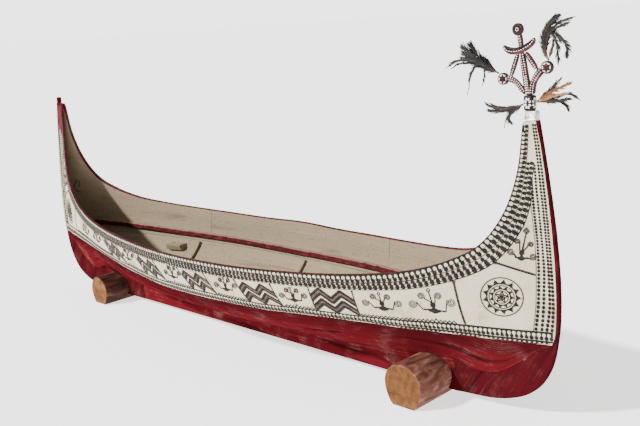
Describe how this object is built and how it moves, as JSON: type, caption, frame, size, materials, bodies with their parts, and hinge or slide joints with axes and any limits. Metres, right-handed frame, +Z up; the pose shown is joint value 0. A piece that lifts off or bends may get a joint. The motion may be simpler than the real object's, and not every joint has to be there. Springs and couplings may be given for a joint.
{
  "type": "plank canoe",
  "caption": "Open plank canoe with high pointed ends, painted carved band, inner rails and a feathered prow figure, standing on two notched logs.",
  "frame": {"origin": "on the floor, under the middle of the whole length and beam", "axes": "+X toward the bow, +Y to port, +Z up"},
  "size_m": [3.6778, 0.852, 1.5707],
  "materials": {
    "band_paint": "carved plank, cream paint with black carved border and panels outside, tan paint inside",
    "hull_red_paint": "weathered dark red paint on wood, scuffed",
    "rail_red_paint": "red paint on the inner face, worn pale on top",
    "shelf_dark_red": "dull dark red paint",
    "inside_tan_paint": "thin tan paint, streaked",
    "log_wood": "raw reddish brown log with pale sawn ends",
    "prow_paint": "dark red and black paint with carved white dots",
    "binding": "pale bright binding, wound flat",
    "feather": "dark glossy feathers with some tan ones"
  },
  "bodies": {
    "root": {"topside_aft_port": "band_paint", "topside_aft_starboard": "band_paint", "topside_middle_port": "band_paint", "topside_middle_starboard": "band_paint", "topside_fore_port": "band_paint", "topside_fore_starboard": "band_paint", "bilge_aft_port": "hull_red_paint", "bilge_aft_starboard": "hull_red_paint", "bilge_middle_port": "hull_red_paint", "bilge_middle_starboard": "hull_red_paint", "bilge_fore_port": "hull_red_paint", "bilge_fore_starboard": "hull_red_paint", "garboard_aft_port": "hull_red_paint", "garboard_aft_starboard": "hull_red_paint", "garboard_middle_port": "hull_red_paint", "garboard_middle_starboard": "hull_red_paint", "garboard_fore_port": "hull_red_paint", "garboard_fore_starboard": "hull_red_paint", "keel_middle": "hull_red_paint", "stem_bow": "hull_red_paint", "stem_stern": "hull_red_paint", "rail_aft_port": "rail_red_paint", "rail_middle_port": "rail_red_paint", "rail_fore_port": "rail_red_paint", "rail_aft_starboard": "rail_red_paint", "rail_middle_starboard": "rail_red_paint", "rail_fore_starboard": "rail_red_paint", "shelf_bow": "shelf_dark_red", "shelf_stern": "shelf_dark_red", "rib_aft_port": "inside_tan_paint", "rib_aft_starboard": "inside_tan_paint", "rib_middle_port": "inside_tan_paint", "rib_middle_starboard": "inside_tan_paint", "rib_fore_port": "inside_tan_paint", "rib_fore_starboard": "inside_tan_paint", "lug_port": "inside_tan_paint", "lug_starboard": "inside_tan_paint", "log_bow": "log_wood", "log_stern": "log_wood", "prow_block": "prow_paint", "prow_board": "prow_paint", "prow_disc_aft": "prow_paint", "prow_disc_fore": "prow_paint", "stem_wrap": "binding", "feathers_aft_high": "feather", "feathers_aft_low": "feather", "feathers_fore_high": "feather", "feathers_fore_low": "feather"}
  },
  "joints": []
}
